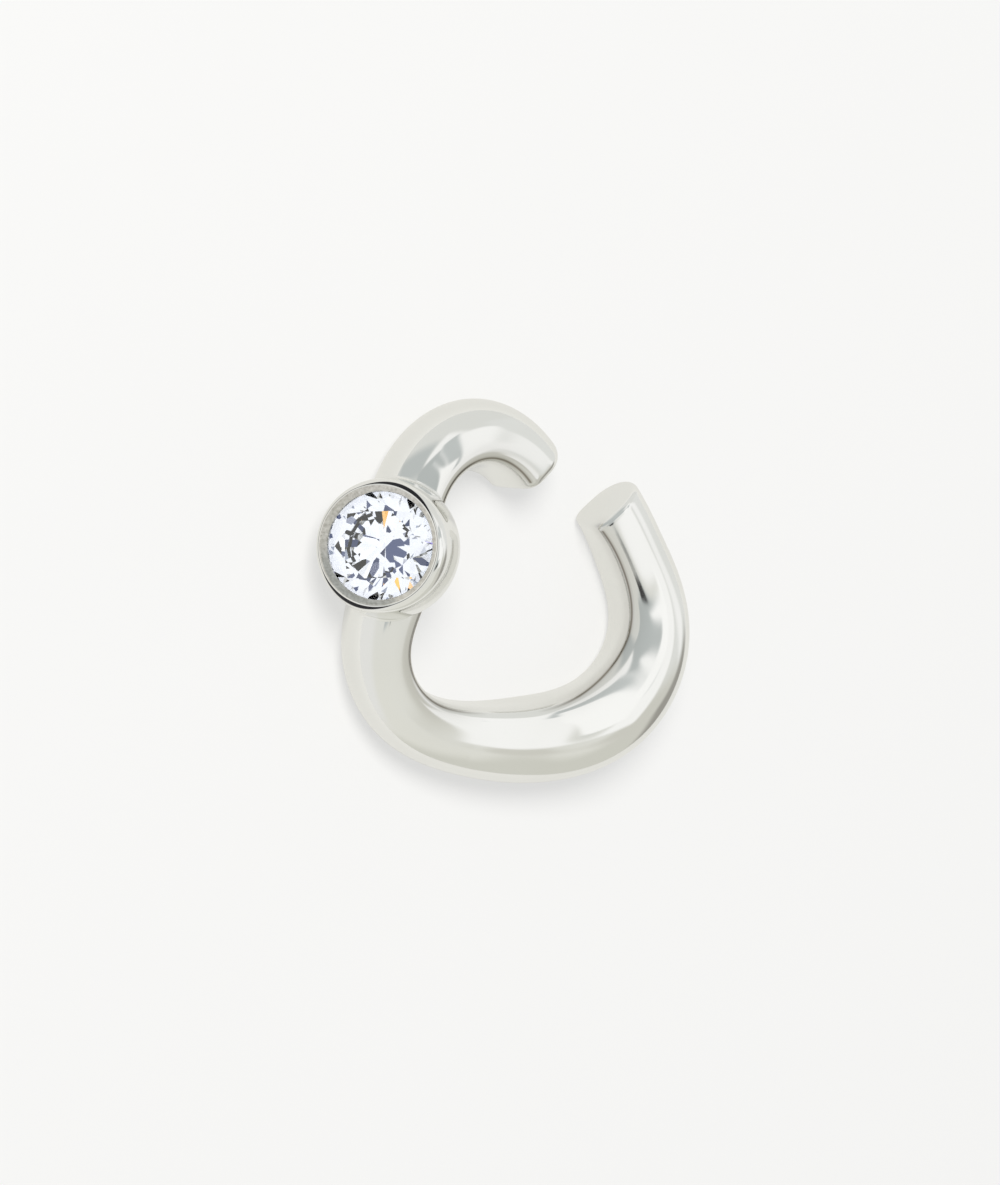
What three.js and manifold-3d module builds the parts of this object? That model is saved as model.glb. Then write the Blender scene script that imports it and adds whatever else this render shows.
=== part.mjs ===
// An open ear cuff in polished metal with a round stone in a bezel cup on its left side.
// Lengths are millimetres and angles degrees. +Z is the loop's axis: the cuff lies on its
// side with the stone looking up and outwards, and every section of the band touches the floor.

import * as THREE from 'three';
import { ConvexGeometry } from 'three/addons/geometries/ConvexGeometry.js';
import { mergeVertices } from 'three/addons/utils/BufferGeometryUtils.js';
import Module from 'manifold-3d';

// Band: round on the outside and squared towards the ear, where innerHalf is the depth of
// the squared half as a share of the round half's
const loopRadius = 5.6;
const bandThickness = 2.6;
const bandWidth = 2.6;
const innerSquareness = 7;
const innerHalf = 0.945;
const upperTipEdge = 0.45;
const sideTipEdge = 0.22;
const upperTipAngle = 74;
const sideTipAngle = 391;

// Stone: a round brilliant
const stoneDiameter = 4;
const tableDiameter = 2.5;
const crownHeight = 0.63;
const pavilionDepth = 1.72;
const girdleThickness = 0.1;
const starLength = 0.5;
const lowerHalfLength = 0.77;
const stoneTurn = 22.5;

// Bezel cup round the stone
const seatClearance = 0.12;
const cupWall = 0.33;
const cupDepth = 2.9;
const lipCover = 0.12;
const lipThickness = 0.04;
const rimWidth = 0.27;
const rimDrop = 0.06;
const cupShare = 0.252;
const cupOutset = -0.19;
const cupStandoff = 2.91;
const cupAzimuth = 158;
const cupElevation = 39;

// Facets of the solids
const bandStations = 90;
const bandSides = 32;
const tipSteps = 4;
const cupSides = 48;
const cupSteps = 16;

// The band from the upper tip (at 0) to the side tip (at 1). reach is the middle line's
// distance from the loop's centre as a share of loopRadius, thick and wide are shares of
// bandThickness and bandWidth, and twist turns the section about the middle line.
const bandRows = [
  { at: 0, reach: 0.799, thick: 0.92, wide: 0.97, twist: 9.5 },
  { at: 0.08, reach: 1.075, thick: 0.98, wide: 0.91, twist: 19.5 },
  { at: 0.175, reach: 1.072, thick: 0.98, wide: 0.99, twist: 21.5 },
  { at: 0.27, reach: 0.892, thick: 1.02, wide: 1, twist: 13.5 },
  { at: 0.365, reach: 0.995, thick: 0.9, wide: 0.95, twist: 13 },
  { at: 0.46, reach: 1.01, thick: 0.9, wide: 0.89, twist: 10 },
  { at: 0.555, reach: 0.933, thick: 1.03, wide: 0.99, twist: -1 },
  { at: 0.65, reach: 0.969, thick: 1.2, wide: 1.05, twist: -2.5 },
  { at: 0.745, reach: 1.112, thick: 1.26, wide: 1.1, twist: -19 },
  { at: 0.84, reach: 1.157, thick: 1.12, wide: 0.99, twist: -17 },
  { at: 0.925, reach: 1.013, thick: 0.97, wide: 0.88, twist: -4 },
  { at: 1, reach: 0.954, thick: 0.95, wide: 0.77, twist: -6 },
];

// The cup's outside below its rim: depth is a share of cupDepth, radius of the widest radius.
const cupRows = [
  { depth: 0.04, radius: 0.93 },
  { depth: 0.12, radius: 0.965 },
  { depth: 0.28, radius: 0.99 },
  { depth: 0.45, radius: 1 },
  { depth: 0.62, radius: 0.99 },
  { depth: 0.76, radius: 0.925 },
  { depth: 0.88, radius: 0.79 },
  { depth: 0.965, radius: 0.57 },
  { depth: 1, radius: 0 },
];

const stoneRadius = stoneDiameter / 2;
const tableRadius = tableDiameter / 2;
const crownSlope = crownHeight / (stoneRadius - tableRadius);
const pavilionSlope = pavilionDepth / stoneRadius;
const roofGap = seatClearance * Math.hypot(1, crownSlope);
const seatGap = seatClearance * Math.hypot(1, pavilionSlope);
const lipRadius = stoneRadius - lipCover;
const rimRadius = lipRadius + rimWidth;
const cavityRadius = stoneRadius + seatClearance;
const cupRadius = cavityRadius + cupWall;
const girdleDrop = rimDrop + lipThickness + roofGap + crownSlope * lipCover;

const silver = new THREE.MeshStandardMaterial({
  name: 'silver',
  color: 0xd9d8cf,
  roughness: 0.08,
  metalness: 1,
});
const clearStone = new THREE.MeshStandardMaterial({
  name: 'clear_stone',
  color: 0xe9eef8,
  roughness: 0.02,
  metalness: 0,
});

// Natural cubic through one column of a table, as a function of the column "at".
function columnCurve(rows, column) {
  const at = rows.map((row) => row.at);
  const value = rows.map((row) => row[column]);
  const last = rows.length - 1;
  const bend = new Array(rows.length).fill(0);
  const carry = new Array(rows.length).fill(0);
  for (let i = 1; i < last; i += 1) {
    const before = at[i] - at[i - 1];
    const after = at[i + 1] - at[i];
    const turn = (value[i + 1] - value[i]) / after - (value[i] - value[i - 1]) / before;
    const pivot = 2 * (before + after) - before * carry[i - 1];
    carry[i] = after / pivot;
    bend[i] = (6 * turn - before * bend[i - 1]) / pivot;
  }
  for (let i = last - 1; i > 0; i -= 1) {
    bend[i] -= carry[i] * bend[i + 1];
  }
  return (share) => {
    let i = 0;
    while (i < last - 1 && share > at[i + 1]) i += 1;
    const step = at[i + 1] - at[i];
    const right = (share - at[i]) / step;
    const left = 1 - right;
    const sag = (left ** 3 - left) * bend[i] + (right ** 3 - right) * bend[i + 1];
    return left * value[i] + right * value[i + 1] + (sag * step * step) / 6;
  };
}

const reachAt = columnCurve(bandRows, 'reach');
const thickAt = columnCurve(bandRows, 'thick');
const wideAt = columnCurve(bandRows, 'wide');
const twistAt = columnCurve(bandRows, 'twist');

function pathPoint(share) {
  const angle = THREE.MathUtils.degToRad(
    THREE.MathUtils.lerp(upperTipAngle, sideTipAngle, share),
  );
  const radius = loopRadius * reachAt(share);
  return new THREE.Vector3(radius * Math.cos(angle), radius * Math.sin(angle), 0);
}

// A point of the section's outline: an ellipse on the outer half, a squarer curve inside.
function outline(section, turn, inset) {
  const cosine = Math.cos(turn);
  const sine = Math.sin(turn);
  const power = 2 / (cosine < 0 ? innerSquareness : 2);
  const depth = section.halfThick * (cosine < 0 ? innerHalf : 1);
  const out = (depth - inset) * Math.sign(cosine) * Math.abs(cosine) ** power;
  const side = (section.halfWide - inset) * Math.sign(sine) * Math.abs(sine) ** power;
  return section.centre
    .clone()
    .addScaledVector(section.outward, out)
    .addScaledVector(section.across, side);
}

// The section at a share of the way: its centre is as high as its lowest point needs.
function bandSection(share) {
  const step = 0.001;
  const along = pathPoint(share + step).sub(pathPoint(share - step)).normalize();
  const twist = THREE.MathUtils.degToRad(twistAt(share));
  const flat = new THREE.Vector3().crossVectors(along, new THREE.Vector3(0, 0, 1));
  const section = {
    centre: pathPoint(share),
    outward: flat.clone().applyAxisAngle(along, twist),
    across: new THREE.Vector3(0, 0, 1).applyAxisAngle(along, twist),
    halfThick: (bandThickness / 2) * thickAt(share),
    halfWide: (bandWidth / 2) * wideAt(share),
  };
  let lowest = 0;
  for (let degree = 180; degree < 360; degree += 1) {
    lowest = Math.min(lowest, outline(section, THREE.MathUtils.degToRad(degree), 0).z);
  }
  section.centre.z = -lowest;
  return section;
}

function tipStations(tipShare, direction, edge) {
  const step = 0.001;
  const speed = pathPoint(tipShare).distanceTo(pathPoint(tipShare + direction * step)) / step;
  const stations = [];
  for (let i = 0; i <= tipSteps; i += 1) {
    const round = (i / tipSteps) * (Math.PI / 2);
    const travel = edge * (1 - Math.cos(round));
    stations.push({
      share: tipShare + (direction * travel) / speed,
      inset: edge * (1 - Math.sin(round)),
    });
  }
  return stations;
}

function bandGeometry() {
  const start = tipStations(0, 1, upperTipEdge);
  const end = tipStations(1, -1, sideTipEdge).reverse();
  const first = start[start.length - 1].share;
  const last = end[0].share;
  const middle = [];
  for (let i = 1; i < bandStations; i += 1) {
    middle.push({ share: THREE.MathUtils.lerp(first, last, i / bandStations), inset: 0 });
  }
  const stations = [...start, ...middle, ...end];
  const positions = [];
  const indices = [];
  stations.forEach((station) => {
    const section = bandSection(station.share);
    for (let side = 0; side < bandSides; side += 1) {
      const turn = (side / bandSides) * 2 * Math.PI;
      positions.push(...outline(section, turn, station.inset).toArray());
    }
  });
  for (let ring = 0; ring + 1 < stations.length; ring += 1) {
    for (let side = 0; side < bandSides; side += 1) {
      const next = (side + 1) % bandSides;
      const here = ring * bandSides;
      const there = here + bandSides;
      indices.push(here + side, there + next, here + next);
      indices.push(here + side, there + side, there + next);
    }
  }
  const startCentre = positions.length / 3;
  positions.push(...bandSection(0).centre.toArray());
  positions.push(...bandSection(1).centre.toArray());
  const lastRing = (stations.length - 1) * bandSides;
  for (let side = 0; side < bandSides; side += 1) {
    const next = (side + 1) % bandSides;
    indices.push(startCentre, side, next);
    indices.push(startCentre + 1, lastRing + next, lastRing + side);
  }
  const geometry = new THREE.BufferGeometry();
  geometry.setAttribute('position', new THREE.Float32BufferAttribute(positions, 3));
  geometry.setIndex(indices);
  return geometry;
}

// Turns a shape modelled about its own +Y, with the rim at the origin, onto the cup's axis.
function placeCup() {
  const azimuth = THREE.MathUtils.degToRad(cupAzimuth);
  const elevation = THREE.MathUtils.degToRad(cupElevation);
  const axis = new THREE.Vector3(
    Math.cos(elevation) * Math.cos(azimuth),
    Math.cos(elevation) * Math.sin(azimuth),
    Math.sin(elevation),
  );
  const foot = bandSection(cupShare);
  const rim = foot.centre
    .clone()
    .addScaledVector(foot.outward, cupOutset)
    .addScaledVector(axis, cupStandoff);
  const turn = new THREE.Quaternion().setFromUnitVectors(new THREE.Vector3(0, 1, 0), axis);
  return new THREE.Matrix4().compose(rim, turn, new THREE.Vector3(1, 1, 1));
}

// Solid cup: domed below, with a shallow funnel for the rim that the cavity cuts through.
function cupGeometry() {
  const outside = new THREE.SplineCurve([
    new THREE.Vector2(rimRadius, 0),
    ...cupRows.map((row) => new THREE.Vector2(cupRadius * row.radius, -cupDepth * row.depth)),
  ]).getPoints(cupSteps);
  const funnel = new THREE.Vector2(0, (-rimDrop / rimWidth) * rimRadius);
  return new THREE.LatheGeometry([...outside.reverse(), funnel], cupSides);
}

// Cavity: the stone's outline, seatClearance larger all round, open through the lip.
function cavityGeometry() {
  const roofY = (radius) => roofGap - girdleDrop + crownSlope * (stoneRadius - radius);
  const seatY = (radius) =>
    -girdleDrop - girdleThickness - seatGap - pavilionSlope * (stoneRadius - radius);
  return new THREE.LatheGeometry(
    [
      new THREE.Vector2(0, seatY(0)),
      new THREE.Vector2(cavityRadius, seatY(cavityRadius)),
      new THREE.Vector2(cavityRadius, roofY(cavityRadius)),
      new THREE.Vector2(lipRadius, roofY(lipRadius)),
      new THREE.Vector2(lipRadius, crownHeight),
      new THREE.Vector2(0, crownHeight),
    ],
    cupSides,
  );
}

// Round brilliant about its own +Y: the table's and stars' corners lie in the crown's mains,
// and the lower halves' corners in the pavilion's mains, so each main is one flat facet.
function stoneGeometry() {
  const points = [];
  const ring = (radius, height, start, count) => {
    for (let i = 0; i < count; i += 1) {
      const angle = THREE.MathUtils.degToRad(stoneTurn + start + (i * 360) / count);
      points.push(
        new THREE.Vector3(radius * Math.cos(angle), height - girdleDrop, radius * Math.sin(angle)),
      );
    }
  };
  const mains = 8;
  const half = 180 / mains;
  const inward = Math.cos(THREE.MathUtils.degToRad(half));
  const tableEdge = tableRadius * inward;
  const starRadius = tableEdge + starLength * (stoneRadius - tableEdge);
  const lowerRadius = stoneRadius * (1 - lowerHalfLength);
  ring(tableRadius, crownHeight, 0, mains);
  ring(starRadius, crownSlope * (stoneRadius - starRadius * inward), half, mains);
  ring(stoneRadius, 0, 0, 2 * mains);
  ring(stoneRadius, -girdleThickness, 0, 2 * mains);
  ring(
    lowerRadius,
    -girdleThickness - pavilionSlope * (stoneRadius - lowerRadius * inward),
    half,
    mains,
  );
  points.push(new THREE.Vector3(0, -girdleDrop - girdleThickness - pavilionDepth, 0));
  return new ConvexGeometry(points);
}

const wasm = await Module();
wasm.setup();

function toSolid(geometry) {
  const bare = geometry.clone();
  bare.deleteAttribute('normal');
  bare.deleteAttribute('uv');
  const merged = mergeVertices(bare, 1e-5);
  return new wasm.Manifold(
    new wasm.Mesh({
      numProp: 3,
      vertProperties: new Float32Array(merged.attributes.position.array),
      triVerts: new Uint32Array(merged.index.array),
    }),
  );
}

function toGeometry(solid) {
  const mesh = solid.getMesh();
  const geometry = new THREE.BufferGeometry();
  geometry.setAttribute('position', new THREE.BufferAttribute(mesh.vertProperties, 3));
  geometry.setIndex(new THREE.BufferAttribute(mesh.triVerts, 1));
  geometry.computeVertexNormals();
  return geometry;
}

const cupPlace = placeCup();
const cuffSolid = toSolid(bandGeometry())
  .add(toSolid(cupGeometry().applyMatrix4(cupPlace)))
  .subtract(toSolid(cavityGeometry().applyMatrix4(cupPlace)));

const band = new THREE.Mesh(toGeometry(cuffSolid), silver);
band.name = 'cuff_band';
const stone = new THREE.Mesh(stoneGeometry().applyMatrix4(cupPlace), clearStone);
stone.name = 'stone';

// The origin is the middle of the cuff's footprint, on the floor.
const cuff = new THREE.Group();
cuff.add(band, stone);
const box = new THREE.Box3().setFromObject(cuff);
const middle = box.getCenter(new THREE.Vector3());
cuff.position.set(-middle.x, -middle.y, -box.min.z);

export default cuff;
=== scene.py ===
import math

import bmesh
import bpy
import numpy as np
from mathutils import Matrix, Vector
from mathutils.bvhtree import BVHTree


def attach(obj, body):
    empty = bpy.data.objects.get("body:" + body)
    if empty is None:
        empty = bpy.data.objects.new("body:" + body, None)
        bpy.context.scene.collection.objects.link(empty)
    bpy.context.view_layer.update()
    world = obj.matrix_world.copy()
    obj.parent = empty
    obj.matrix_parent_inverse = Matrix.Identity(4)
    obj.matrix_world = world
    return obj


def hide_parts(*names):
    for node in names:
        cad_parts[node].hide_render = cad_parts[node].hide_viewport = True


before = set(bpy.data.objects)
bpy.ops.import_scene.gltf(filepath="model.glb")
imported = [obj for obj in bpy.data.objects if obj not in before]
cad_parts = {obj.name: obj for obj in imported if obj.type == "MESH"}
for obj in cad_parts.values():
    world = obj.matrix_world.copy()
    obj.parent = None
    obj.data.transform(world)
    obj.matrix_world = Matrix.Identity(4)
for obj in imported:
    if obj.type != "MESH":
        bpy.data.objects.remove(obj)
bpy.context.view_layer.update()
scene = bpy.context.scene
mm = 0.001

# Camera: at the photograph's angle to the cuff, which lies on its side on the floor.
# Vectors are in the row frame and lengths in millimetres.
cameraValues = {
    "loopCentre": (0.213, -0.153, 1.25),
    "towards": (-0.5454, 0.2220, 0.8083),
    "right": (0.8271, -0.0141, 0.5619),
    "distance": 250.0,
    "lens": 214.9,
    "slide": (-0.154, 0.123),
}


def makeCamera(values):
    towards = Vector(values["towards"]).normalized()
    right = Vector(values["right"])
    right = (right - towards * right.dot(towards)).normalized()
    up = towards.cross(right)
    place = Vector(values["loopCentre"]) + towards * values["distance"]
    place += right * values["slide"][0] + up * values["slide"][1]
    data = bpy.data.cameras.new("camera")
    data.lens = values["lens"]
    data.sensor_width = 36.0
    data.clip_start = 0.01
    data.clip_end = 20.0
    camera = bpy.data.objects.new("camera", data)
    turn = Matrix((right, up, towards)).transposed().to_4x4()
    camera.matrix_world = Matrix.Translation(place * mm) @ turn
    scene.collection.objects.link(camera)
    scene.camera = camera
    return towards, right, up


viewTowards, viewRight, viewUp = makeCamera(cameraValues)
print("camera ready")

# Values that can be changed, one dictionary a piece, in millimetres and degrees
bandValues = {
    "loopRadius": 5.6,
    "thickness": 2.6,
    "width": 2.6,
    "innerSquareness": 7.0,
    "polishedSquareness": 5.0,
    "innerHalf": 0.945,
    "polishLoss": 0.009,
    # The next four values set the painted shade and painted dark reflection line along the band's
    # inner corner
    "creaseWidth": 0.05,
    "haloWidth": 0.4,
    "shadeBreakAt": 0.58,
    "shadeBreakWidth": 0.07,
    "upperTipEdge": 0.45,
    "sideTipEdge": 0.22,
    "upperTip": 74.0,
    "sideTip": 391.0,
    "tipFaceRings": 8,
    "tipEdgeRings": 14,
    "stations": 390,
    "sides": 152,
}
# Columns: share of the way round, reach, thickness, width, twist in degrees
bandRows = np.array([
    (0.000, 0.799, 0.92, 0.97, 9.5),
    (0.080, 1.075, 0.98, 0.91, 19.5),
    (0.175, 1.072, 0.98, 0.99, 21.5),
    (0.270, 0.892, 1.02, 1.00, 13.5),
    (0.365, 0.995, 0.90, 0.95, 13.0),
    (0.460, 1.010, 0.90, 0.89, 10.0),
    (0.555, 0.933, 1.03, 0.99, -1.0),
    (0.650, 0.969, 1.20, 1.05, -2.5),
    (0.745, 1.112, 1.26, 1.10, -19.0),
    (0.840, 1.157, 1.12, 0.99, -17.0),
    (0.925, 1.013, 0.97, 0.88, -4.0),
    (1.000, 0.954, 0.95, 0.77, -6.0),
])
cupValues = {
    "wall": 0.33,
    "depth": 2.9,
    "share": 0.252,
    "outset": -0.19,
    "standoff": 2.91,
    "azimuth": 158.0,
    "elevation": 39.0,
    "lipCover": 0.12,
    "rimWidth": 0.27,
    "rimDrop": 0.06,
    "seatClearance": 0.12,
    "lipThickness": 0.04,
    "touch": 0.02,
    "filletRadius": 0.13,
    "sides": 240,
}
# Columns: depth below the rim as a share, radius as a share of the widest
cupRows = np.array([
    (0.04, 0.93),
    (0.12, 0.965),
    (0.28, 0.99),
    (0.45, 1.0),
    (0.62, 0.99),
    (0.76, 0.925),
    (0.88, 0.79),
    (0.965, 0.57),
    (1.0, 0.0),
])
# Columns: inward from the rim's edge, height above the rim's plane
beadRows = [
    (0.012, 0.007),
    (0.030, 0.009),
    (0.050, 0.003),
    (0.070, -0.006),
]
stoneValues = {
    "radius": 2.0,
    "tableRadius": 1.25,
    "crownHeight": 0.63,
    "pavilionDepth": 1.72,
    "girdleThickness": 0.1,
    "starLength": 0.5,
    "lowerHalfLength": 0.77,
    "turn": 22.5,
    "ior": 2.17,
    "clearTone": (0.97, 0.98, 1.0),
    "blueTone": (0.90, 0.94, 1.0),
}


def naturalCubic(at, values, shares):
    # Cubic through the rows whose second derivative is zero at both ends:
    # solves h0 m0 + 2 (h0 + h1) m1 + h1 m2 = 6 (slope1 - slope0) for the bends m.
    count = len(at)
    steps = np.diff(at)
    slopes = np.diff(values, axis=0) / steps[:, None]
    matrix = np.eye(count)
    right = np.zeros((count, values.shape[1]))
    for i in range(1, count - 1):
        matrix[i, i - 1:i + 2] = steps[i - 1], 2 * (steps[i - 1] + steps[i]), steps[i]
        right[i] = 6 * (slopes[i] - slopes[i - 1])
    bends = np.linalg.solve(matrix, right)
    cell = np.clip(np.searchsorted(at, shares) - 1, 0, count - 2)
    step = steps[cell][:, None]
    after = (shares - at[cell])[:, None] / step
    before = 1 - after
    sag = (before ** 3 - before) * bends[cell] + (after ** 3 - after) * bends[cell + 1]
    return before * values[cell] + after * values[cell + 1] + sag * step ** 2 / 6


def bandPath(shares):
    columns = naturalCubic(bandRows[:, 0], bandRows[:, 1:], shares)
    angle = np.radians(
        bandValues["upperTip"] + (bandValues["sideTip"] - bandValues["upperTip"]) * shares
    )
    radius = bandValues["loopRadius"] * columns[:, 0]
    points = np.stack([radius * np.cos(angle), radius * np.sin(angle), 0 * angle], 1)
    return points, columns


def sectionOutline(turns, squareness):
    # Unit outline in polar form: r = (|cos|^p + |sin|^p)^(-1/p), with p = 2 on the outer
    # half and the squareness on the half towards the ear.
    cosine = np.cos(turns)
    power = np.where(cosine < 0, squareness, 2.0)
    radius = (np.abs(cosine) ** power + np.abs(np.sin(turns)) ** power) ** (-1 / power)
    return radius * cosine, radius * np.sin(turns)


def bandFrames(shares):
    step = 0.0005
    points, columns = bandPath(shares)
    along = bandPath(shares + step)[0] - bandPath(shares - step)[0]
    along /= np.linalg.norm(along, axis=1)[:, None]
    up = np.array([0.0, 0.0, 1.0])
    out = np.cross(along, up)
    twist = np.radians(columns[:, 3])[:, None]
    outward = out * np.cos(twist) - up * np.sin(twist)
    across = out * np.sin(twist) + up * np.cos(twist)
    halfThick = columns[:, 1] * bandValues["thickness"] / 2
    halfWide = columns[:, 2] * bandValues["width"] / 2
    thick, wide = sectionOutline(
        np.radians(np.arange(0, 360, 0.5)), bandValues["innerSquareness"]
    )
    depth = np.where(thick < 0, bandValues["innerHalf"], 1.0)
    heights = (
        halfThick[:, None] * depth * thick * outward[:, 2:3]
        + halfWide[:, None] * wide * across[:, 2:3]
    )
    points[:, 2] = -heights.min(1)
    return points, outward, across, halfThick, halfWide


def bandStations():
    # Rings as (share, inset, scale): a face that grows from the tip's middle, then a quarter
    # round, then even steps along the path, and the same at the other tip.
    fine = np.linspace(0, 1, 4001)
    lengths = np.linalg.norm(np.diff(bandPath(fine)[0], axis=0), axis=1)
    travel = np.concatenate([[0], np.cumsum(lengths)])

    def tip(edge):
        turns = np.linspace(0, math.pi / 2, bandValues["tipEdgeRings"])
        scales = np.linspace(0.1, 0.95, bandValues["tipFaceRings"])
        face = np.stack([0 * scales, 0 * scales + edge, scales], 1)
        rounds = np.stack(
            [edge * (1 - np.cos(turns)), edge * (1 - np.sin(turns)), 1 + 0 * turns], 1
        )
        return np.concatenate([face, rounds])

    upper = tip(bandValues["upperTipEdge"])
    side = tip(bandValues["sideTipEdge"])[::-1] * (-1, 1, 1) + (travel[-1], 0, 0)
    body = np.linspace(upper[-1, 0], side[0, 0], bandValues["stations"])[1:-1]
    body = np.stack([body, 0 * body, 1 + 0 * body], 1)
    rows = np.concatenate([upper, body, side])
    return np.interp(rows[:, 0], travel, fine), rows[:, 1], rows[:, 2]


def gridFaces(rings, sides, closedRings=False):
    last = rings if closedRings else rings - 1
    ring = np.arange(last)[:, None]
    side = np.arange(sides)[None, :]
    after = (ring + 1) % rings
    beside = (side + 1) % sides
    corners = [ring * sides + side, after * sides + side, after * sides + beside,
               ring * sides + beside]
    return np.stack([np.broadcast_to(c, (last, sides)) for c in corners], -1).reshape(-1, 4)


def closedFaces(rings, sides):
    # Faces of a grid whose two ends are closed by fans round its poles, the last two vertices
    first = np.arange(sides)
    beside = (first + 1) % sides
    last = (rings - 1) * sides
    fans = np.concatenate([
        np.stack([first, beside, np.full(sides, rings * sides)], 1),
        np.stack([last + beside, last + first, np.full(sides, rings * sides + 1)], 1),
    ])
    return gridFaces(rings, sides), fans


def bandMesh():
    shares, inset, scale = bandStations()
    centre, outward, across, halfThick, halfWide = bandFrames(shares)
    turns = np.linspace(0, 2 * math.pi, bandValues["sides"], endpoint=False)
    thick, wide = sectionOutline(turns, bandValues["polishedSquareness"])
    depth = np.where(thick < 0, bandValues["innerHalf"], 1.0)
    inset = inset + bandValues["polishLoss"]
    out = (halfThick[:, None] * depth - inset[:, None]) * scale[:, None] * thick
    side = (halfWide - inset)[:, None] * scale[:, None] * wide
    points = (
        centre[:, None] + out[..., None] * outward[:, None] + side[..., None] * across[:, None]
    )
    vertices = np.concatenate([points.reshape(-1, 3), centre[:1], centre[-1:]])
    return vertices, *closedFaces(len(shares), bandValues["sides"])


def cupFrame():
    # Local frame of the cup: origin in the rim's plane, third column along its axis.
    azimuth = math.radians(cupValues["azimuth"])
    elevation = math.radians(cupValues["elevation"])
    axis = np.array([
        math.cos(elevation) * math.cos(azimuth),
        math.cos(elevation) * math.sin(azimuth),
        math.sin(elevation),
    ])
    centre, outward = bandFrames(np.array([cupValues["share"]]))[:2]
    origin = centre[0] + outward[0] * cupValues["outset"] + axis * cupValues["standoff"]
    turn = Vector((0, 1, 0)).rotation_difference(Vector(axis)).to_matrix()
    side = np.array(turn @ Vector((1, 0, 0)))
    front = np.array(turn @ Vector((0, 0, 1)))
    return origin, np.stack([side, front, axis], 1)


def revolve(profile, sides):
    # Revolves rows of (radius, height) about the cup's axis; the two ends on it are poles.
    profile = np.asarray(profile, float)
    turns = np.linspace(0, 2 * math.pi, sides, endpoint=False)
    ring = profile[1:-1]
    local = np.stack([
        ring[:, :1] * np.cos(turns),
        ring[:, :1] * np.sin(turns),
        np.broadcast_to(ring[:, 1:], (len(ring), sides)),
    ], -1).reshape(-1, 3)
    poles = np.array([[0, 0, profile[0, 1]], [0, 0, profile[-1, 1]]])
    vertices = cupOrigin + np.concatenate([local, poles]) @ cupAxes.T
    return vertices, *closedFaces(len(ring), sides)


def smoothProfile(points, count):
    # Natural cubic through a profile's points, measured along its chords.
    points = np.asarray(points, float)
    chords = np.concatenate([[0], np.cumsum(np.linalg.norm(np.diff(points, axis=0), axis=1))])
    return naturalCubic(chords, points, np.linspace(0, chords[-1], count))


crownSlope = stoneValues["crownHeight"] / (stoneValues["radius"] - stoneValues["tableRadius"])
pavilionSlope = stoneValues["pavilionDepth"] / stoneValues["radius"]
lipRadius = stoneValues["radius"] - cupValues["lipCover"]
rimRadius = lipRadius + cupValues["rimWidth"] - bandValues["polishLoss"]
cupRadius = (
    stoneValues["radius"] + cupValues["seatClearance"] + cupValues["wall"]
    - bandValues["polishLoss"]
)
girdleDrop = (
    cupValues["rimDrop"] + cupValues["lipThickness"]
    + cupValues["seatClearance"] * math.hypot(1, crownSlope)
    + crownSlope * cupValues["lipCover"]
)
cupOrigin, cupAxes = cupFrame()
# The row's origin is the middle of the footprint: the loop's centre lies beside it.
partShift = np.array([*cameraValues["loopCentre"][:2], 0.0])


def cupOuterProfile(count):
    rows = [(rimRadius, 0.0)] + [
        (cupRadius * radius, -cupValues["depth"] * depth) for depth, radius in cupRows
    ]
    return smoothProfile(rows, count)


def cupProfile():
    # From the bottom's pole up the outside, over the rim, and down round the stone's seat.
    touch = cupValues["touch"]
    outside = cupOuterProfile(110)[::-1]
    bead = np.array([(rimRadius - inward, height) for inward, height in beadRows])
    funnel = np.linspace(bead[-1], (lipRadius + 0.02, -cupValues["rimDrop"]), 8)[1:]
    roof = stoneValues["radius"] - lipRadius
    roofHeight = -girdleDrop + crownSlope * roof + touch
    lip = np.array([
        (lipRadius + 0.006, -cupValues["rimDrop"] - 0.006),
        (lipRadius, -cupValues["rimDrop"] - 0.02),
        (lipRadius, roofHeight),
        (stoneValues["radius"] + touch, -girdleDrop + touch),
        (stoneValues["radius"] + touch, -girdleDrop - stoneValues["girdleThickness"]),
    ])
    seatBottom = -girdleDrop - stoneValues["girdleThickness"] - stoneValues["pavilionDepth"] - 0.1
    cone = np.linspace((stoneValues["radius"] - 0.05, lip[-1, 1] - 0.12), (0.0, seatBottom), 6)
    return np.concatenate([outside, bead, funnel, lip, cone])


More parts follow.
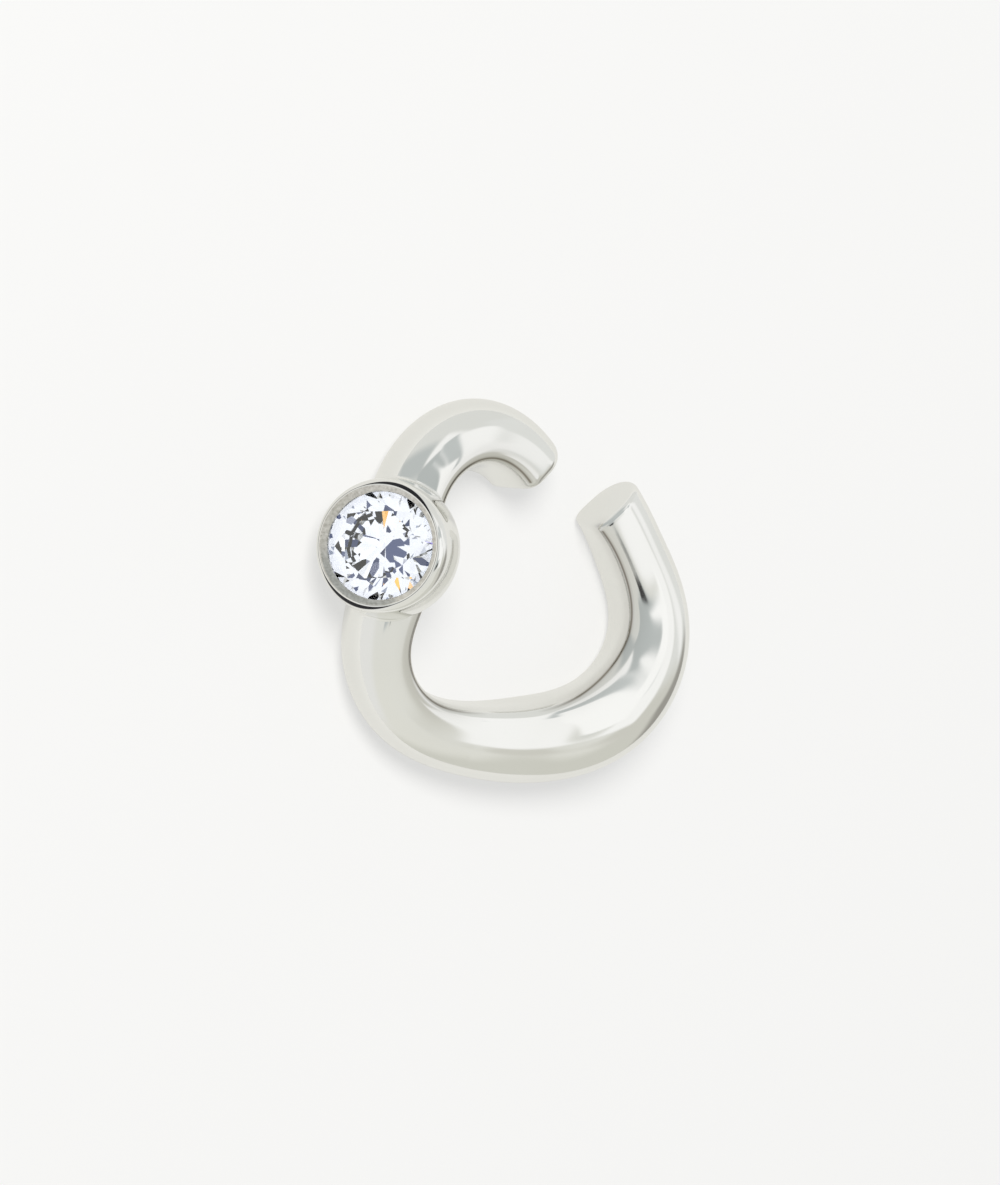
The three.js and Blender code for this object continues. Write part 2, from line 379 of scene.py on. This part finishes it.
def filletMesh(bandTree):
    # Solder fillet: a ball of filletRadius rolls round between the cup and the band. For each
    # turn about the cup, halving steps find the depth at which the ball beside the cup's
    # profile touches the band. The fillet is the arc between its two contacts.
    radius = cupValues["filletRadius"]
    turns = np.linspace(0, 2 * math.pi, cupValues["sides"], endpoint=False)
    spokes = np.stack([np.cos(turns), np.sin(turns), 0 * turns], 1)
    lift = np.array([0.0, 0.0, 1.0])
    profile = cupOuterProfile(400)
    along = np.gradient(profile, axis=0)
    normal = np.stack([-along[:, 1], along[:, 0]], 1)
    normal /= np.linalg.norm(normal, axis=1)[:, None]
    steps = np.arange(len(profile))

    def contact(place):
        row, facing = (
            np.stack([np.interp(place, steps, table[:, i]) for i in (0, 1)], 1)
            for table in (profile, normal)
        )
        touch = cupOrigin + (spokes * row[:, :1] + lift * row[:, 1:]) @ cupAxes.T
        away = (spokes * facing[:, :1] + lift * facing[:, 1:]) @ cupAxes.T
        ball = touch + away * radius
        found = [bandTree.find_nearest(Vector(centre)) for centre in (ball + partShift) * mm]
        near = np.array([hit[0] for hit in found]) / mm - partShift
        out = np.array([hit[1] for hit in found])
        height = np.einsum("ij,ij->i", ball - near, out)
        gap = np.linalg.norm(ball - near, axis=1) * np.sign(height) - radius
        return gap, ball, touch, near

    above = np.full(len(turns), 40.0)
    below = np.full(len(turns), len(profile) - 30.0)
    for halving in range(22):
        middle = (above + below) / 2
        clear = contact(middle)[0] > 0
        above = np.where(clear, middle, above)
        below = np.where(clear, below, middle)
    gap, ball, touch, near = contact(above)
    toCup = (touch - ball) / radius
    toBand = (near - ball) / np.linalg.norm(near - ball, axis=1)[:, None]
    angle = np.arccos(np.clip(np.einsum("ij,ij->i", toCup, toBand), -1, 1))[:, None, None]
    share = np.linspace(0, 1, 12)[None, :, None]
    arc = np.sin((1 - share) * angle) * toCup[:, None] + np.sin(share * angle) * toBand[:, None]
    arc = ball[:, None] + arc / np.sin(angle) * radius
    middle = toCup + toBand
    middle /= np.linalg.norm(middle, axis=1)[:, None]
    loop = np.concatenate([
        arc,
        (near + toBand * radius * 0.3)[:, None],
        (ball + middle * radius * 1.35)[:, None],
        (touch + toCup * radius * 0.3)[:, None],
    ], 1)
    print("fillet's gaps", round(float(gap.min()), 4), round(float(gap.max()), 4))
    return loop.reshape(-1, 3), gridFaces(len(turns), loop.shape[1], closedRings=True)


def newMesh(name, vertices, *faceSets):
    # A closed mesh in metres in the row frame. Its faces are turned round if the volume
    # under them, the sum of a . (b x c) / 6 over their triangles, comes out negative.
    volume = 0.0
    for faceSet in faceSets:
        for i in range(1, faceSet.shape[1] - 1):
            corners = vertices[faceSet[:, [0, i, i + 1]]]
            volume += np.linalg.det(corners).sum() / 6
    faces = []
    for faceSet in faceSets:
        faces += (faceSet if volume > 0 else faceSet[:, ::-1]).tolist()
    mesh = bpy.data.meshes.new(name)
    mesh.from_pydata(((vertices + partShift) * mm).tolist(), [], faces)
    mesh.update()
    return mesh


def newPiece(name, mesh, node):
    piece = bpy.data.objects.new(name, mesh)
    scene.collection.objects.link(piece)
    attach(piece, "root")
    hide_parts(node)
    return piece


def cutForStone(bandWhole):
    # Takes the room for the stone out of the band, a little inside the cup's wall.
    seat = stoneValues["radius"] + cupValues["seatClearance"] + cupValues["wall"] / 2
    bottom = -cupValues["depth"] + 0.3
    plugProfile = [
        (0.0, bottom), (seat, bottom + pavilionSlope * seat), (seat, -0.3), (0.0, -0.3),
    ]
    tools = [
        bpy.data.objects.new("bandWhole", bandWhole),
        bpy.data.objects.new("plug", newMesh("plug", *revolve(plugProfile, 96))),
    ]
    for tool in tools:
        scene.collection.objects.link(tool)
    cut = tools[0].modifiers.new("room for the stone", "BOOLEAN")
    cut.operation = "DIFFERENCE"
    cut.object = tools[1]
    cut.solver = "MANIFOLD"
    graph = bpy.context.evaluated_depsgraph_get()
    result = bpy.data.meshes.new_from_object(tools[0].evaluated_get(graph))
    for tool in tools:
        bpy.data.objects.remove(tool)
    return result


def paintCreaseShade(mesh):
    # Painted shade and a painted dark reflection line along the band's inner corner: 0.8 exp(-(d
    # / creaseWidth)^2) + 0.2 exp(-(d / haloWidth)^2) for a vertex at a distance d from the
    # corner's line, left out round one place along the corner.
    vertices = bandMesh()[0]
    sides = bandValues["sides"]
    rings = (len(vertices) - 2) // sides
    corner = vertices[:rings * sides].reshape(rings, sides, 3)[:, round(sides * 3 / 8)]
    tipRings = bandValues["tipFaceRings"] + bandValues["tipEdgeRings"]
    corner = corner[tipRings:-tipRings] + partShift
    place = np.empty(len(mesh.vertices) * 3)
    mesh.vertices.foreach_get("co", place)
    place = place.reshape(-1, 3) / mm
    apart = (place ** 2).sum(1)[:, None] + (corner ** 2).sum(1) - 2 * place @ corner.T
    nearest = apart.argmin(1)
    closest = np.maximum(apart[np.arange(len(place)), nearest], 0)
    away = np.abs(nearest / len(corner) - bandValues["shadeBreakAt"])
    shadeKept = np.clip(away / bandValues["shadeBreakWidth"] - 0.5, 0, 1)
    mark = 0.8 * np.exp(-closest / bandValues["creaseWidth"] ** 2)
    mark = shadeKept * (mark + 0.2 * np.exp(-closest / bandValues["haloWidth"] ** 2))
    mesh.attributes.new("creaseShade", "FLOAT", "POINT").data.foreach_set("value", mark)


def makeCuff():
    bandWhole = newMesh("bandWhole", *bandMesh())
    shape = bmesh.new()
    shape.from_mesh(bandWhole)
    bandTree = BVHTree.FromBMesh(shape)
    shape.clear()
    shape.from_mesh(cutForStone(bandWhole))
    shape.from_mesh(newMesh("cup", *revolve(cupProfile(), cupValues["sides"])))
    shape.from_mesh(newMesh("fillet", *filletMesh(bandTree)))
    mesh = bpy.data.meshes.new("cuffBand")
    shape.to_mesh(mesh)
    shape.free()
    paintCreaseShade(mesh)
    mesh.polygons.foreach_set("use_smooth", np.full(len(mesh.polygons), True))
    print("cuff:", len(mesh.polygons), "faces")
    return newPiece("cuffBand", mesh, "cuff_band")


def stonePoints():
    # Round brilliant: rings as (radius, height above the girdle, first angle, count), with the
    # crown's mains on one slope and the pavilion's on another, so that each is one flat facet.
    values = stoneValues
    halfStep = 180 / 8
    inward = math.cos(math.radians(halfStep))
    tableEdge = values["tableRadius"] * inward
    starRadius = tableEdge + values["starLength"] * (values["radius"] - tableEdge)
    lowerRadius = values["radius"] * (1 - values["lowerHalfLength"])
    thickness = values["girdleThickness"]
    rows = [
        (values["tableRadius"], values["crownHeight"], 0.0, 8),
        (starRadius, crownSlope * (values["radius"] - starRadius * inward), halfStep, 8),
        (values["radius"], 0.0, 0.0, 16),
        (values["radius"], -thickness, 0.0, 16),
        (lowerRadius, -thickness - pavilionSlope * (values["radius"] - lowerRadius * inward),
         halfStep, 8),
    ]
    rings = []
    for radius, height, start, count in rows:
        angle = np.radians(start + values["turn"] + np.arange(count) * 360 / count)
        rings.append(np.stack([radius * np.cos(angle), radius * np.sin(angle),
                               0 * angle + height - girdleDrop], 1))
    culet = [(0.0, 0.0, -girdleDrop - thickness - values["pavilionDepth"])]
    return np.concatenate([*rings, culet])


def stoneFaces():
    # Rings start at 0 table, 8 stars, 16 upper girdle, 32 lower girdle, 48 lower halves, 56 culet
    faces = [list(range(8))]
    for i in range(8):
        after = (i + 1) % 8
        before = (i - 1) % 8
        girdle = 16 + 2 * i
        nextGirdle = 16 + (2 * i + 1) % 16
        lastGirdle = 16 + (2 * i - 1) % 16
        faces.append([i, 8 + i, after])
        faces.append([i, 8 + before, girdle, 8 + i])
        faces.append([8 + i, girdle, nextGirdle])
        faces.append([8 + before, lastGirdle, girdle])
        faces.append([56, 48 + i, girdle + 16, 48 + before])
        faces.append([48 + i, nextGirdle + 16, girdle + 16])
        faces.append([48 + before, girdle + 16, lastGirdle + 16])
    for i in range(16):
        after = (i + 1) % 16
        faces.append([16 + i, 32 + i, 32 + after, 16 + after])
    return faces


def makeStone():
    points = cupOrigin + stonePoints() @ cupAxes.T
    centre = points.mean(0)
    faces = []
    for face in stoneFaces():
        corner = points[face]
        normal = np.cross(corner[1] - corner[0], corner[2] - corner[0])
        faces.append(face if normal @ (corner.mean(0) - centre) > 0 else face[::-1])
    mesh = bpy.data.meshes.new("brilliant")
    mesh.from_pydata(((points + partShift) * mm).tolist(), [], faces)
    mesh.update()
    print("stone:", len(faces), "facets")
    return newPiece("brilliant", mesh, "stone")


cuff = makeCuff()
stone = makeStone()


# Materials
def newNode(tree, kind, **settings):
    # A node with its settings, such as an operation or a data type
    node = tree.nodes.new(kind)
    for name, value in settings.items():
        setattr(node, name, value)
    return node


def softVariationGroup():
    # Slow noise between two values: low + (high - low) noise(scale, detail)
    group = bpy.data.node_groups.new("softVariation", "ShaderNodeTree")
    face = group.interface
    face.new_socket("Scale", in_out="INPUT", socket_type="NodeSocketFloat").default_value = 300
    face.new_socket("Detail", in_out="INPUT", socket_type="NodeSocketFloat").default_value = 2
    face.new_socket("Low", in_out="INPUT", socket_type="NodeSocketFloat").default_value = 0
    face.new_socket("High", in_out="INPUT", socket_type="NodeSocketFloat").default_value = 1
    face.new_socket("Value", in_out="OUTPUT", socket_type="NodeSocketFloat")
    start = newNode(group, "NodeGroupInput")
    end = newNode(group, "NodeGroupOutput")
    place = newNode(group, "ShaderNodeTexCoord")
    noise = newNode(group, "ShaderNodeTexNoise")
    spread = newNode(group, "ShaderNodeMapRange")
    group.links.new(place.outputs["Object"], noise.inputs["Vector"])
    group.links.new(start.outputs["Scale"], noise.inputs["Scale"])
    group.links.new(start.outputs["Detail"], noise.inputs["Detail"])
    group.links.new(noise.outputs["Fac"], spread.inputs["Value"])
    spread.inputs["From Min"].default_value = 0.3
    spread.inputs["From Max"].default_value = 0.7
    group.links.new(start.outputs["Low"], spread.inputs["To Min"])
    group.links.new(start.outputs["High"], spread.inputs["To Max"])
    group.links.new(spread.outputs["Result"], end.inputs["Value"])
    return group


softVariation = softVariationGroup()


def newMaterial(name):
    material = bpy.data.materials.new(name)
    material.use_nodes = True
    return material, material.node_tree, material.node_tree.nodes["Principled BSDF"]


def variation(tree, scale, detail, low, high):
    node = newNode(tree, "ShaderNodeGroup", node_tree=softVariation)
    for name, value in (("Scale", scale), ("Detail", detail), ("Low", low), ("High", high)):
        node.inputs[name].default_value = value
    return node.outputs["Value"]


def blend(tree, factor, first, second):
    # Mixes two colours, each of them a socket or a plain tint
    mix = newNode(tree, "ShaderNodeMix", data_type="RGBA")
    tree.links.new(factor, mix.inputs["Factor"])
    for name, colour in (("A", first), ("B", second)):
        if isinstance(colour, tuple):
            mix.inputs[name].default_value = (*colour, 1)
        else:
            tree.links.new(colour, mix.inputs[name])
    return mix.outputs["Result"]


def mathNode(tree, kind, operation, *values):
    # A node of the Math or Vector Math kind on values that are sockets or plain numbers
    node = newNode(tree, kind, operation=operation)
    for socket, value in zip(node.inputs, values):
        if isinstance(value, (int, float)):
            socket.default_value = value
        else:
            tree.links.new(value, socket)
    return node.outputs["Value"] if operation in ("DOT_PRODUCT", "LENGTH") else node.outputs[0]


def paintedRimMarksGroup():
    # Painted marks on the cup's rim: a painted dark reflection line that swells into two
    # crescents, and painted shade on the funnel. With p the place from the cup's middle, h =
    # p.axis, r = |p - h axis| and c = p.toward / r, the line lies between the rim and the rim +
    # width, which grows with (2 c^2 - 1) into two crescents, and the funnel is all inside the
    # rim.
    group = bpy.data.node_groups.new("rimMarks", "ShaderNodeTree")
    face = group.interface
    for name in ("Middle", "Axis", "Toward"):
        face.new_socket(name, in_out="INPUT", socket_type="NodeSocketVector")
    for name in ("Rim Radius", "Line Width", "Crescent Width"):
        face.new_socket(name, in_out="INPUT", socket_type="NodeSocketFloat")
    for name in ("Line", "Funnel"):
        face.new_socket(name, in_out="OUTPUT", socket_type="NodeSocketFloat")
    start = newNode(group, "NodeGroupInput")
    end = newNode(group, "NodeGroupOutput")

    def vector(operation, *values):
        return mathNode(group, "ShaderNodeVectorMath", operation, *values)

    def number(operation, *values):
        return mathNode(group, "ShaderNodeMath", operation, *values)

    place = newNode(group, "ShaderNodeTexCoord").outputs["Object"]
    place = vector("SUBTRACT", place, start.outputs["Middle"])
    height = vector("DOT_PRODUCT", place, start.outputs["Axis"])
    rise = newNode(group, "ShaderNodeVectorMath", operation="SCALE")
    group.links.new(start.outputs["Axis"], rise.inputs[0])
    group.links.new(height, rise.inputs["Scale"])
    flat = vector("SUBTRACT", place, rise.outputs[0])
    radius = vector("LENGTH", flat)
    cosine = number("DIVIDE", vector("DOT_PRODUCT", flat, start.outputs["Toward"]), radius)
    double = number("MULTIPLY_ADD", number("MULTIPLY", cosine, cosine), 2.0, -1.0)
    swell = number("POWER", number("MAXIMUM", double, 0.0), 1.5)
    width = number(
        "MULTIPLY_ADD", swell, start.outputs["Crescent Width"], start.outputs["Line Width"]
    )
    beyond = number("SUBTRACT", radius, start.outputs["Rim Radius"])

    def step(value, low, high):
        node = newNode(group, "ShaderNodeMapRange", interpolation_type="SMOOTHSTEP")
        group.links.new(value, node.inputs["Value"])
        node.inputs["From Min"].default_value = low
        node.inputs["From Max"].default_value = high
        return node.outputs["Result"]

    near = step(height, -0.30 * mm, -0.26 * mm)
    outside = step(beyond, -0.012 * mm, 0.0)
    inside = step(number("SUBTRACT", width, beyond), -0.008 * mm, 0.012 * mm)
    line = number("MULTIPLY", number("MULTIPLY", outside, inside), near)
    funnel = step(beyond, -0.035 * mm, -0.06 * mm)
    group.links.new(line, end.inputs["Line"])
    group.links.new(number("MULTIPLY", funnel, near), end.inputs["Funnel"])
    return group


silverValues = {
    "pale": (0.90, 0.90, 0.885),
    "deep": (0.87, 0.87, 0.85),
    # Tint of the painted shade and painted dark reflection line along the band's inner corner
    "creaseShadeTint": (0.20, 0.175, 0.14),
    # The next seven values set the painted dark reflection line and crescents and the painted
    # shade on the cup's rim
    "rimReflectionDark": (0.03, 0.03, 0.035),
    "funnel": (0.74, 0.725, 0.69),
    "funnelShadeDeep": (0.50, 0.485, 0.45),
    "crescentsAt": (0.45, 0.89),
    "marksLean": 0.07,
    "lineWidth": 0.012,
    "crescentWidth": 0.11,
    "roughness": (0.06, 0.10),
    "bump": 0.008,
    "bumpDepth": 0.02,
}


def silverMaterial():
    material, tree, shader = newMaterial("polishedSilver")
    shader.inputs["Metallic"].default_value = 1.0
    # Painted dark reflection line and crescents and painted shade on the rim, placed from the
    # view's right and up
    marks = newNode(tree, "ShaderNodeGroup", node_tree=paintedRimMarksGroup())
    axis = Vector(cupAxes[:, 2])
    rightward, upward = silverValues["crescentsAt"]
    toward = viewRight * rightward + viewUp * upward
    toward = (toward - axis * toward.dot(axis)).normalized()
    leftward = (viewRight.dot(axis) * axis - viewRight).normalized()
    crestMiddle = Vector(cupOrigin) + leftward * silverValues["marksLean"]
    for name, value in (
        ("Middle", (crestMiddle + Vector(partShift)) * mm), ("Axis", axis), ("Toward", toward),
        ("Rim Radius", rimRadius * mm), ("Line Width", silverValues["lineWidth"] * mm),
        ("Crescent Width", silverValues["crescentWidth"] * mm),
    ):
        marks.inputs[name].default_value = value
    tone = variation(tree, 260, 2, 0, 1)
    colour = blend(tree, tone, silverValues["pale"], silverValues["deep"])
    # Painted shade and painted dark reflection line along the band's inner corner
    creaseShade = newNode(tree, "ShaderNodeAttribute", attribute_name="creaseShade")
    colour = blend(tree, creaseShade.outputs["Fac"], colour, silverValues["creaseShadeTint"])
    # Painted shade over the rim's funnel, mottled between two tints
    funnelShade = variation(tree, 9000, 3, 0, 1)
    funnelShade = blend(tree, funnelShade, silverValues["funnel"], silverValues["funnelShadeDeep"])
    colour = blend(tree, marks.outputs["Funnel"], colour, funnelShade)
    # Painted dark reflection line and crescents along the rim
    colour = blend(tree, marks.outputs["Line"], colour, silverValues["rimReflectionDark"])
    tree.links.new(colour, shader.inputs["Base Color"])
    tree.links.new(
        variation(tree, 900, 4, *silverValues["roughness"]), shader.inputs["Roughness"]
    )
    bump = newNode(tree, "ShaderNodeBump")
    bump.inputs["Strength"].default_value = silverValues["bump"]
    bump.inputs["Distance"].default_value = silverValues["bumpDepth"] * mm
    tree.links.new(variation(tree, 2500, 5, 0, 1), bump.inputs["Height"])
    tree.links.new(bump.outputs["Normal"], shader.inputs["Normal"])
    return material


def stoneMaterial():
    material, tree, shader = newMaterial("clearStone")
    shader.inputs["Metallic"].default_value = 0.0
    shader.inputs["Transmission Weight"].default_value = 1.0
    shader.inputs["IOR"].default_value = stoneValues["ior"]
    tone = variation(tree, 700, 1, 0, 1)
    colour = blend(tree, tone, stoneValues["clearTone"], stoneValues["blueTone"])
    tree.links.new(colour, shader.inputs["Base Color"])
    tree.links.new(variation(tree, 1500, 2, 0.0, 0.01), shader.inputs["Roughness"])
    return material


cuff.data.materials.append(silverMaterial())
stone.data.materials.append(stoneMaterial())
print("materials ready")

# Floor and light
studioValues = {
    "floor": (0.37, 0.368, 0.362),
    "floorHalf": 1.5,
    # The floor as glossy rays see it: painted shade, darker than the floor itself
    "shadedFloorInMetal": (0.27, 0.265, 0.235),
    "floorGlow": (0.515, 0.514, 0.507),
    "backdrop": (0.93, 0.925, 0.91),
    "warmSide": (0.79, 0.787, 0.73),
    "coolerSide": (0.765, 0.772, 0.745),
    "onFloor": (0.49, 0.50, 0.52),
    "throughStone": (1.22, 1.24, 1.29),
    "lampPlace": (-0.18, 0.26, 0.42),
    "lampSize": 0.22,
    "lampPower": 2.2,
    "lampTint": (1.0, 0.99, 0.97),
}


def makeFloor():
    half = studioValues["floorHalf"]
    mesh = bpy.data.meshes.new("floor")
    mesh.from_pydata(
        [(-half, -half, 0), (half, -half, 0), (half, half, 0), (-half, half, 0)], [],
        [(0, 1, 2, 3)],
    )
    floor = bpy.data.objects.new("floor", mesh)
    scene.collection.objects.link(floor)
    material, tree, shader = newMaterial("paleFloor")
    shader.inputs["Specular IOR Level"].default_value = 0.2
    tone = variation(tree, 60, 2, 0, 1)
    pale = studioValues["floor"]
    seen = blend(tree, tone, pale, tuple(c * 0.99 for c in pale))
    path = newNode(tree, "ShaderNodeLightPath")
    # Glossy rays see the floor in a darker colour: painted shade on the floor as the metal
    # reflects it
    colour = blend(tree, path.outputs["Is Glossy Ray"], seen, studioValues["shadedFloorInMetal"])
    tree.links.new(colour, shader.inputs["Base Color"])
    tree.links.new(variation(tree, 90, 2, 0.55, 0.65), shader.inputs["Roughness"])
    shader.inputs["Emission Color"].default_value = (*studioValues["floorGlow"], 1)
    shader.inputs["Emission Strength"].default_value = 1.0
    mesh.materials.append(material)


makeFloor()


def viewVector(rightward, upward):
    # A direction so many degrees to the right of and above the photograph's line of sight
    turn = math.radians(math.hypot(rightward, upward))
    lean = math.atan2(upward, rightward)
    side = viewRight * math.cos(lean) + viewUp * math.sin(lean)
    return viewTowards * math.cos(turn) + side * math.sin(turn)


# Soft cards round the cuff, seen only in reflections. Columns: degrees right of and above the
# line of sight, turn of the card, half width and half height in degrees, edge, colour.
cards = [
    ("rightSide", 104, 2, 0, 24, 34, 0.20, (0.80, 0.81, 0.79)),
    ("oliveLow", 56, -96, 8, 30, 20, 0.40, (0.66, 0.66, 0.60)),
    ("oliveRight", 82, -34, 0, 9, 20, 0.20, (0.66, 0.655, 0.60)),
    ("paleLeft", -50, -35, 0, 22, 30, 0.60, (0.83, 0.83, 0.81)),
    ("coolMiddle", -8, 31, -8, 24, 8, 0.28, (0.54, 0.57, 0.565)),
    ("whiteTop", 39, 25, -24, 9, 10, 0.14, (0.98, 0.98, 0.97)),
    ("coolRight", 32, 0, 8, 12, 17, 0.08, (0.51, 0.54, 0.535)),
    ("coolLow", 36, -11.5, 4, 6.5, 2.5, 0.04, (0.51, 0.54, 0.535)),
    ("whiteRight", 64, 2, 0, 8, 19, 0.10, (1.01, 1.01, 1.00)),
    ("arc", 50, 17, -58, 10, 4, 0.06, (0.57, 0.60, 0.595)),
    ("whiteBox", 48, 3, 10, 6.5, 10, 0.05, (1.05, 1.05, 1.04)),
    ("whiteBand", 86, 7, 32, 17, 2.5, 0.10, (0.97, 0.97, 0.96)),
    ("lineDark", 41.2, -17.5, 16, 4.2, 1.6, 0.03, (0.03, 0.03, 0.03)),
    ("darkRight", 112, -42, 0, 10, 8, 0.20, (0.36, 0.35, 0.32)),
]
# The same for what shows through the stone, with a few saturated ones for its fire
stoneCards = [
    ("table", 2, 0, 20, 10, 11, 0.02, (0.06, 0.08, 0.17)),
    ("smallInk", -20, -14, 30, 5, 4, 0.02, (0.05, 0.07, 0.18)),
    ("navyLeft", -42, 18, 20, 8, 20, 0.02, (0.10, 0.13, 0.26)),
    ("navyRight", 40, -36, 30, 7, 13, 0.02, (0.10, 0.13, 0.27)),
    ("greyBlue", 52, 30, -20, 10, 8, 0.05, (0.42, 0.47, 0.60)),
    ("greyLow", -18, -46, 10, 12, 6, 0.05, (0.45, 0.50, 0.62)),
    ("inkTop", -4, 52, 0, 8, 4, 0.02, (0.04, 0.05, 0.12)),
    ("orange", 24, 24, 30, 2.5, 4.5, 0.02, (1.60, 0.85, 0.20)),
    ("violet", 18, -58, 0, 4, 3, 0.02, (0.60, 0.50, 1.20)),
]


def layerCards(tree, group, direction, colour, rows):
    # Lays the cards one over the other on a colour, which is a socket or a plain tint
    for name, rightward, upward, turn, width, height, edge, tint in rows:
        centre = viewVector(rightward, upward)
        across = (viewRight - centre * viewRight.dot(centre)).normalized()
        beside = centre.cross(across)
        angle = math.radians(turn)
        across, beside = (
            across * math.cos(angle) + beside * math.sin(angle),
            beside * math.cos(angle) - across * math.sin(angle),
        )
        card = newNode(tree, "ShaderNodeGroup", node_tree=group, label=name)
        tree.links.new(direction, card.inputs["Direction"])
        for socket, value in (("Centre", centre), ("Across", across), ("Beside", beside)):
            card.inputs[socket].default_value = value
        card.inputs["Half Width"].default_value = math.tan(math.radians(width))
        card.inputs["Half Height"].default_value = math.tan(math.radians(height))
        card.inputs["Edge"].default_value = edge
        colour = blend(tree, card.outputs["Mask"], colour, tint)
    return colour


def softCardGroup():
    # Mask of a card round a direction: with a = d.across / d.centre and b = d.beside / d.centre,
    # the product of two smooth steps that fall from 1 inside the half sizes to 0 outside, and
    # 0 for all that lies behind the card's plane.
    group = bpy.data.node_groups.new("softCard", "ShaderNodeTree")
    face = group.interface
    for name in ("Direction", "Centre", "Across", "Beside"):
        face.new_socket(name, in_out="INPUT", socket_type="NodeSocketVector")
    for name in ("Half Width", "Half Height", "Edge"):
        face.new_socket(name, in_out="INPUT", socket_type="NodeSocketFloat")
    face.new_socket("Mask", in_out="OUTPUT", socket_type="NodeSocketFloat")
    start = newNode(group, "NodeGroupInput")
    end = newNode(group, "NodeGroupOutput")
    link = group.links.new

    def dot(name):
        pair = start.outputs["Direction"], start.outputs[name]
        return mathNode(group, "ShaderNodeVectorMath", "DOT_PRODUCT", *pair)

    def number(operation, *values):
        return mathNode(group, "ShaderNodeMath", operation, *values)

    edgeOn = 0.02
    ahead = dot("Centre")
    safe = number("MAXIMUM", ahead, edgeOn)
    masks = []
    for name, half in (("Across", "Half Width"), ("Beside", "Half Height")):
        spread = number("ABSOLUTE", number("DIVIDE", dot(name), safe))
        step = newNode(group, "ShaderNodeMapRange", interpolation_type="SMOOTHSTEP")
        link(spread, step.inputs["Value"])
        link(start.outputs[half], step.inputs["From Min"])
        outer = number("ADD", start.outputs[half], start.outputs["Edge"])
        link(outer, step.inputs["From Max"])
        step.inputs["To Min"].default_value = 1
        step.inputs["To Max"].default_value = 0
        masks.append(step.outputs["Result"])
    front = number("GREATER_THAN", ahead, edgeOn)
    mask = number("MULTIPLY", number("MULTIPLY", *masks), front)
    link(mask, end.inputs["Mask"])
    return group


def makeWorld():
    world = bpy.data.worlds.new("studio")
    scene.world = world
    world.use_nodes = True
    tree = world.node_tree
    tree.nodes.clear()
    link = tree.links.new
    group = softCardGroup()
    place = newNode(tree, "ShaderNodeTexCoord")
    direction = place.outputs["Generated"]
    # Base: warm grey towards -Y, cooler and a little darker towards +Y
    rise = newNode(tree, "ShaderNodeSeparateXYZ")
    link(direction, rise.inputs[0])
    ramp = newNode(tree, "ShaderNodeMapRange", interpolation_type="SMOOTHSTEP")
    link(rise.outputs["Y"], ramp.inputs["Value"])
    ramp.inputs["From Min"].default_value = -0.9
    ramp.inputs["From Max"].default_value = 0.6
    base = blend(
        tree, ramp.outputs["Result"], studioValues["warmSide"], studioValues["coolerSide"]
    )
    through = layerCards(tree, group, direction, studioValues["throughStone"], stoneCards)
    path = newNode(tree, "ShaderNodeLightPath").outputs
    colour = layerCards(tree, group, direction, base, cards)
    colour = blend(tree, path["Is Transmission Ray"], colour, through)
    colour = blend(tree, path["Is Diffuse Ray"], colour, studioValues["onFloor"])
    colour = blend(tree, path["Is Camera Ray"], colour, studioValues["backdrop"])
    background = newNode(tree, "ShaderNodeBackground")
    link(colour, background.inputs["Color"])
    output = newNode(tree, "ShaderNodeOutputWorld")
    link(background.outputs["Background"], output.inputs["Surface"])


def makeLamp():
    data = bpy.data.lights.new("softKey", "AREA")
    data.shape = "DISK"
    data.size = studioValues["lampSize"]
    data.energy = studioValues["lampPower"]
    data.color = studioValues["lampTint"]
    lamp = bpy.data.objects.new("softKey", data)
    place = Vector(studioValues["lampPlace"])
    lamp.location = place
    lamp.rotation_euler = place.to_track_quat("Z", "Y").to_euler()
    lamp.visible_glossy = False
    lamp.visible_transmission = False
    scene.collection.objects.link(lamp)


makeWorld()
makeLamp()
scene.view_settings.view_transform = "Standard"
scene.view_settings.look = "None"
print("studio ready")
